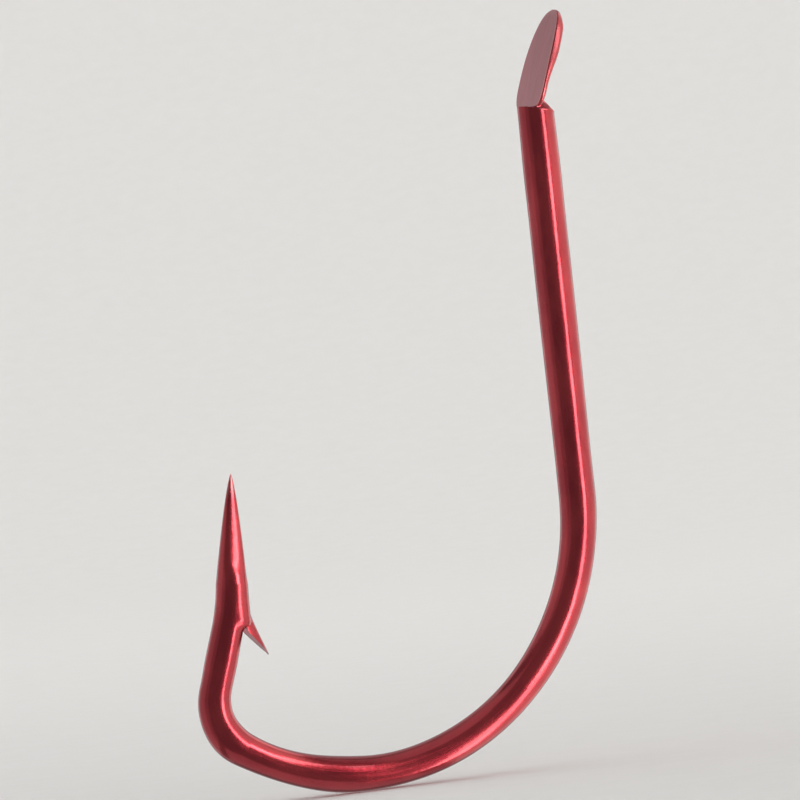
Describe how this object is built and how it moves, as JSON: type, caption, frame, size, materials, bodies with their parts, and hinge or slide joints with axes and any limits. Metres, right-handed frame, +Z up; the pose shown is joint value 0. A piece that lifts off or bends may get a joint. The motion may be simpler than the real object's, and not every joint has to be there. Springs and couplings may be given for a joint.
{
  "type": "spade-end fishing hook",
  "caption": "Barbed single fishing hook of round wire with a straight shank, a wide round bend, a ground needle point and a flattened spade end for a snelled line.",
  "frame": {"origin": "on the shank's axis, where the straight shank meets the neck of the spade and the snelled line bears", "axes": "+Z up along the shank towards the spade, -X towards the point, Y across the plane of the hook"},
  "size_m": [0.0125, 0.002, 0.0209],
  "materials": {
    "red_lacquer": "gloss",
    "spade_lacquer": "satin"
  },
  "bodies": {
    "root": {"spade": "spade_lacquer", "neck": "red_lacquer", "shank": "red_lacquer", "rear_bend": "red_lacquer", "bottom_bend": "red_lacquer", "front_bend": "red_lacquer", "front_leg": "red_lacquer", "barb": "red_lacquer", "point": "red_lacquer"}
  },
  "joints": []
}
